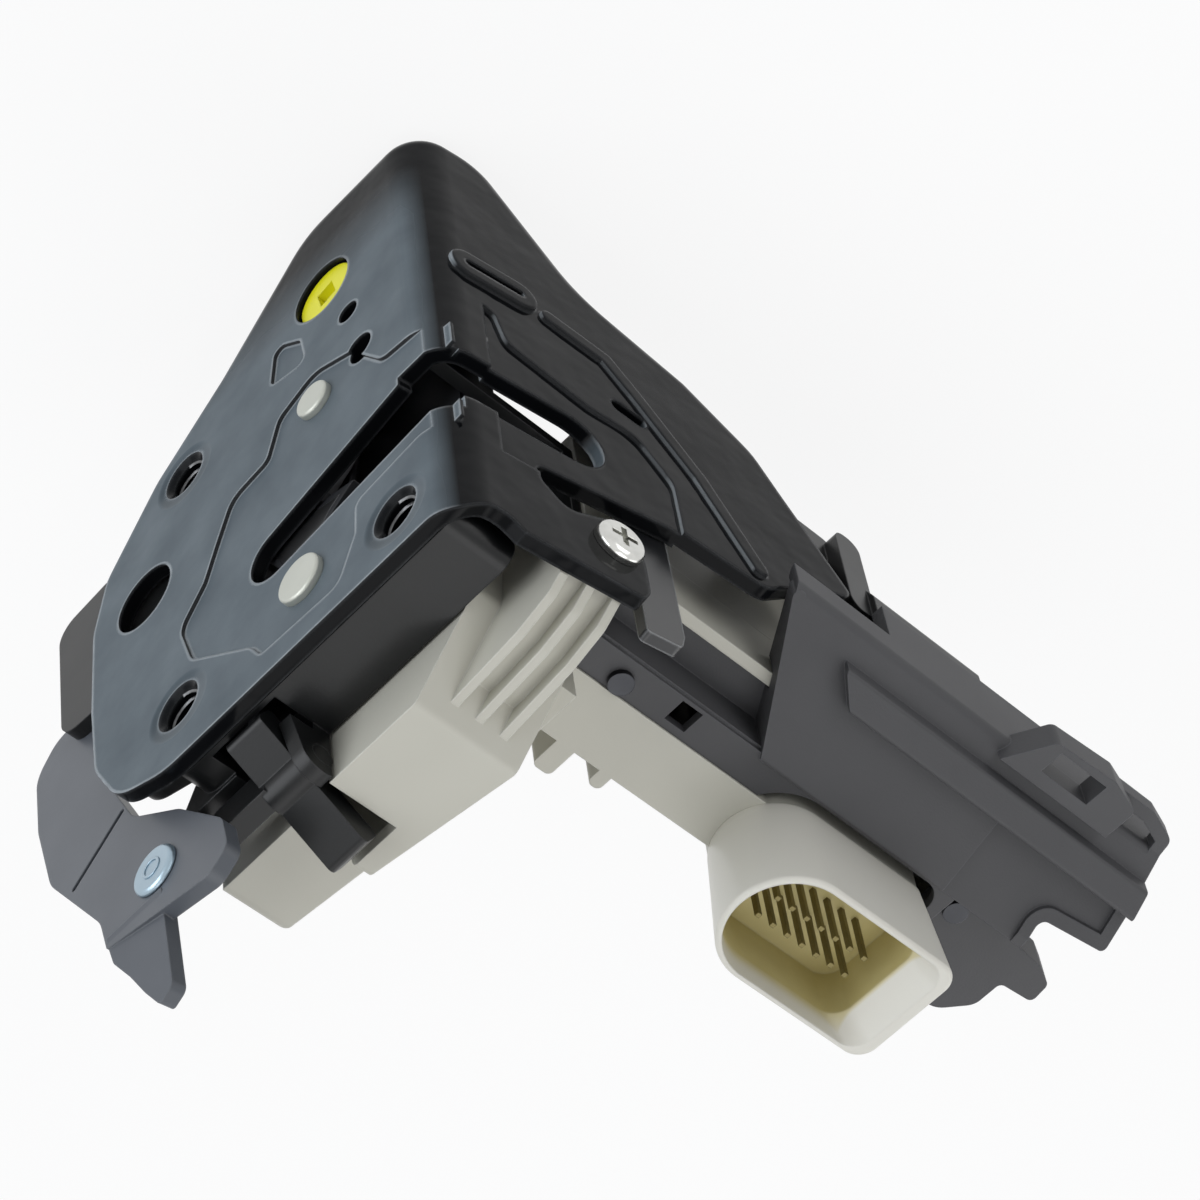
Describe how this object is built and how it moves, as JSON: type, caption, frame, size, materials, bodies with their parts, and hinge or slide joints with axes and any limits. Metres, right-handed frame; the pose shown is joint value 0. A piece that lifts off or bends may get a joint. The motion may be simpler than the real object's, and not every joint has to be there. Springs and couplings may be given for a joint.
{
  "type": "door latch actuator",
  "caption": "Car door latch with a slotted corner plate, catch, pawl and release levers, and a plastic actuator arm with a motor drive and a D-shaped plug inlet.",
  "frame": {"origin": "mouth of the threaded hole beside the flange, on the outer face of the face plate", "axes": "+X from the face plate into the door, along the actuator arm; +Y towards the cabin side, out of the flange; +Z towards the mouth of the plug inlet"},
  "size_m": [0.1416, 0.113, 0.1382],
  "materials": {
    "plate_steel": "semi-gloss black coating",
    "black_plastic": "fine matt",
    "dark_steel": "dark coating",
    "hardened_steel": "ground",
    "overmould_plastic": "smooth",
    "rivet_steel": "burnished head",
    "buffer_rubber": "matt",
    "spring_steel": "drawn wire",
    "switch_plastic": "smooth",
    "yellow_plastic": "smooth",
    "lever_steel": "black coating",
    "zinc_rivet": "blue zinc",
    "fork_plastic": "smooth",
    "blade_steel": "black coating, bare sheared edge",
    "plated_screw": "plated",
    "white_plastic": "fine matt",
    "grey_plastic": "fine grain",
    "rear_plastic": "matt",
    "connector_plastic": "smooth",
    "contact_brass": "tinned",
    "motor_can": "plated",
    "lead_screw_steel": "turned",
    "slider_plastic": "smooth",
    "link_plastic": "smooth",
    "post_steel": "turned",
    "cover_screw_steel": "dark zinc"
  },
  "bodies": {
    "base": {"latch_plate": "plate_steel", "latch_housing": "black_plastic", "back_plate": "dark_steel", "catch_rivet": "rivet_steel", "pawl_rivet": "rivet_steel", "pawl_buffer": "buffer_rubber", "catch_spring": "spring_steel", "pawl_spring": "spring_steel", "catch_switch": "switch_plastic", "lever_rivet": "zinc_rivet", "blade_pin": "rivet_steel", "tab_screw": "plated_screw", "actuator_housing": "white_plastic", "actuator_cover": "grey_plastic", "rear_cover": "rear_plastic", "connector_shroud": "connector_plastic", "contact_pins": "contact_brass", "lock_motor": "motor_can", "link_post": "post_steel", "cover_screws": "cover_screw_steel"},
    "catch": {"rotary_catch": "hardened_steel", "catch_overmould": "overmould_plastic"},
    "pawl": {"pawl": "hardened_steel"},
    "disc": {"emergency_lock_disc": "yellow_plastic"},
    "outer_lever": {"outer_release_lever": "lever_steel"},
    "fork": {"release_fork": "fork_plastic"},
    "inner_lever": {"inner_release_lever": "blade_steel"},
    "screw": {"lead_screw": "lead_screw_steel"},
    "nut": {"slider": "slider_plastic"},
    "link": {"locking_link": "link_plastic"}
  },
  "joints": [
    {"name": "catch_turn", "type": "hinge", "parent": "base", "child": "catch", "pos_m": [0.0058, -0.0192, -0.0055], "axis": [1, 0, 0], "range_deg": [-50, 0], "stiffness_Nm_per_rad": 0.02, "springref_deg": 28.65},
    {"name": "outer_lever_turn", "type": "hinge", "parent": "base", "child": "outer_lever", "pos_m": [0.0067, -0.0568, 0.0183], "axis": [1, 0, 0], "range_deg": [0, 14], "stiffness_Nm_per_rad": 0.1, "springref_deg": -17.19},
    {"name": "pawl_lift", "type": "hinge", "parent": "base", "child": "pawl", "pos_m": [0.0058, -0.0143, -0.0467], "axis": [1, 0, 0], "range_deg": [0, 12]},
    {"name": "disc_turn", "type": "hinge", "parent": "base", "child": "disc", "pos_m": [0.0022, -0.011, -0.0745], "axis": [1, 0, 0], "range_deg": [0, 75]},
    {"name": "fork_turn", "type": "hinge", "parent": "base", "child": "fork", "pos_m": [0.0125, -0.036, 0.0135], "axis": [0, 1, 0], "range_deg": [-5, 5], "stiffness_Nm_per_rad": 0.01},
    {"name": "inner_lever_turn", "type": "hinge", "parent": "base", "child": "inner_lever", "pos_m": [0.03778, 0.01221, -0.024], "axis": [-0.1219, 0.9925, 0], "range_deg": [0, 9], "stiffness_Nm_per_rad": 0.03, "springref_deg": -17.19},
    {"name": "screw_spin", "type": "hinge", "parent": "base", "child": "screw", "pos_m": [0.075, -0.002, -0.026], "axis": [1, 0, 0], "range_deg": [0, 1440]},
    {"name": "slider_slide", "type": "slide", "parent": "base", "child": "nut", "axis": [-1, 0, 0], "range_m": [0, 0.012]},
    {"name": "link_turn", "type": "hinge", "parent": "base", "child": "link", "pos_m": [0.072, -0.012, -0.02], "axis": [0, 0, 1], "range_deg": [0, 74]}
  ],
  "couplings": [
    {"joint": "pawl_lift", "follows": "outer_lever_turn", "ratio": 0.857},
    {"joint": "screw_spin", "follows": "slider_slide", "rad_per_m": 2094.4},
    {"joint": "link_turn", "follows": "slider_slide", "rad_per_m": 107.25}
  ]
}
